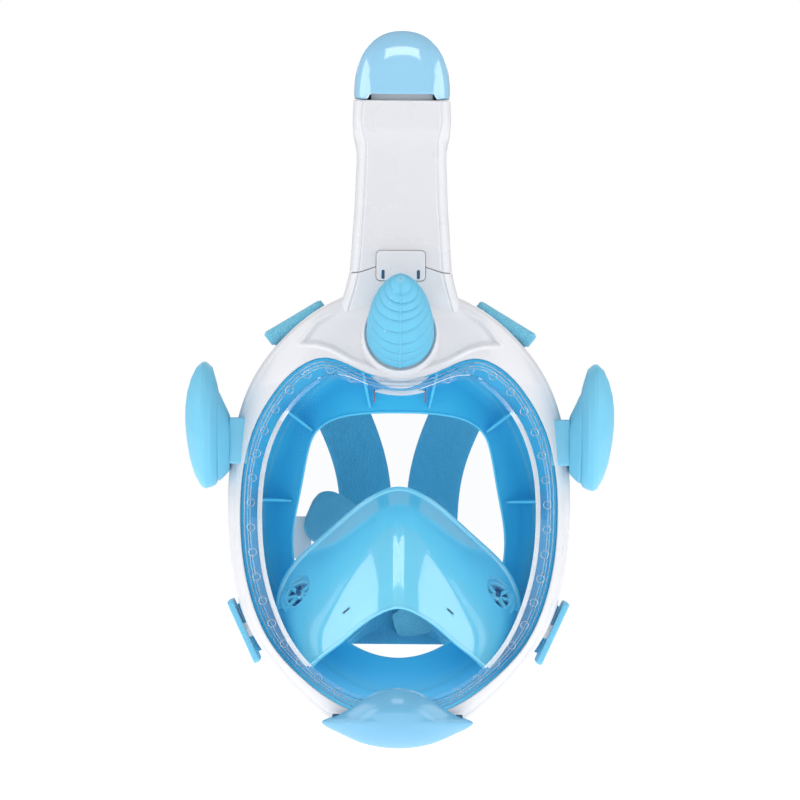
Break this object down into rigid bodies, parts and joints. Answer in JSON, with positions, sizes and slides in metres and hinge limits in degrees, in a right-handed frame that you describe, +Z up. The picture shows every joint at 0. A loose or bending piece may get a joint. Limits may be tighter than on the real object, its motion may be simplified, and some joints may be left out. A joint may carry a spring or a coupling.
{
  "type": "full-face snorkel mask",
  "caption": "Full-face snorkel mask with a wide clear window, soft face seal, folding dry-top snorkel, ringed horn, side ears and a strap harness.",
  "frame": {"origin": "middle of the plane that the face seal reaches furthest back, level with the middle of the face opening", "axes": "+Z up along the snorkel side, -Y forward out of the lens, +X to the viewer's right when the lens faces the viewer"},
  "size_m": [0.216, 0.2083, 0.3591],
  "materials": {
    "white_plastic": "injection moulded ABS, semi-gloss",
    "clear_lens": "polished clear polycarbonate",
    "skirt_silicone": "soft silicone, satin",
    "pocket_silicone": "glossy silicone",
    "clear_silicone": "clear silicone, matte",
    "cap_plastic": "high-gloss moulded plastic",
    "horn_silicone": "matte silicone",
    "ear_silicone": "matte silicone",
    "cover_plastic": "satin moulded plastic",
    "clip_plastic": "satin moulded plastic",
    "strap_webbing": "woven elastic webbing",
    "stainless_steel": "bright stainless steel",
    "inner_plastic": "moulded polypropylene",
    "float_foam": "closed-cell foam",
    "seal_rubber": "matte rubber"
  },
  "bodies": {
    "root": {"front_frame": "white_plastic", "rear_frame": "white_plastic", "lens": "clear_lens", "face_skirt": "skirt_silicone", "nose_pocket": "pocket_silicone", "inhale_valve_seat_left": "pocket_silicone", "inhale_valve_seat_right": "pocket_silicone", "chin_valve_seat": "inner_plastic", "chin_valve_cover": "cover_plastic", "snorkel_pivot": "stainless_steel", "socket_gasket": "seal_rubber", "latch_spring": "stainless_steel", "horn": "horn_silicone", "ear_left": "ear_silicone", "ear_bracket_left": "ear_silicone", "ear_right": "ear_silicone", "ear_bracket_right": "ear_silicone", "strap_anchor_left": "white_plastic", "strap_left": "strap_webbing", "clip_pin_left": "stainless_steel", "strap_anchor_right": "white_plastic", "strap_right": "strap_webbing", "clip_pin_right": "stainless_steel", "frame_screws": "stainless_steel"},
    "snorkel": {"snorkel_tube": "white_plastic", "airway_divider": "inner_plastic", "float_cage": "inner_plastic", "dry_top_seal": "seal_rubber", "dry_top_cap": "cap_plastic"},
    "float": {"float": "float_foam"},
    "latch": {"tube_latch": "white_plastic"},
    "inhale_flap_left": {"inhale_flap_left": "clear_silicone"},
    "inhale_flap_right": {"inhale_flap_right": "clear_silicone"},
    "chin_flap": {"chin_valve_flap": "clear_silicone"},
    "clip_left": {"strap_clip_left": "clip_plastic"},
    "clip_right": {"strap_clip_right": "clip_plastic"}
  },
  "joints": [
    {"name": "snorkel_fold", "type": "hinge", "parent": "root", "child": "snorkel", "pos_m": [0, -0.0298, 0.1346], "axis": [-1, 0, 0], "range_deg": [0, 95]},
    {"name": "float_rise", "type": "slide", "parent": "snorkel", "child": "float", "axis": [0, 0.2079, 0.9781], "range_m": [0, 0.0076]},
    {"name": "latch_press", "type": "slide", "parent": "root", "child": "latch", "axis": [0, 1, 0], "range_m": [0, 0.0022], "stiffness_N_per_m": 400, "springref_m": -0.0015, "deforming": ["latch_spring"]},
    {"name": "chin_flap_lift", "type": "slide", "parent": "root", "child": "chin_flap", "axis": [0, -1, 0], "range_m": [0, 0.0012], "stiffness_N_per_m": 40, "springref_m": -0.0004},
    {"name": "inhale_flap_left_lift", "type": "slide", "parent": "root", "child": "inhale_flap_left", "axis": [0.4206, 0.721, -0.5507], "range_m": [0, 0.0012], "stiffness_N_per_m": 40, "springref_m": -0.0004},
    {"name": "clip_left_swing", "type": "hinge", "parent": "root", "child": "clip_left", "pos_m": [-0.07785, -0.0393, -0.05067], "axis": [-0.4181, 0, 0.9084], "range_deg": [0, 20]},
    {"name": "inhale_flap_right_lift", "type": "slide", "parent": "root", "child": "inhale_flap_right", "axis": [-0.4206, 0.721, -0.5507], "range_m": [0, 0.0012], "stiffness_N_per_m": 40, "springref_m": -0.0004},
    {"name": "clip_right_swing", "type": "hinge", "parent": "root", "child": "clip_right", "pos_m": [0.07785, -0.0393, -0.05067], "axis": [-0.4181, 0, -0.9084], "range_deg": [0, 20]}
  ]
}
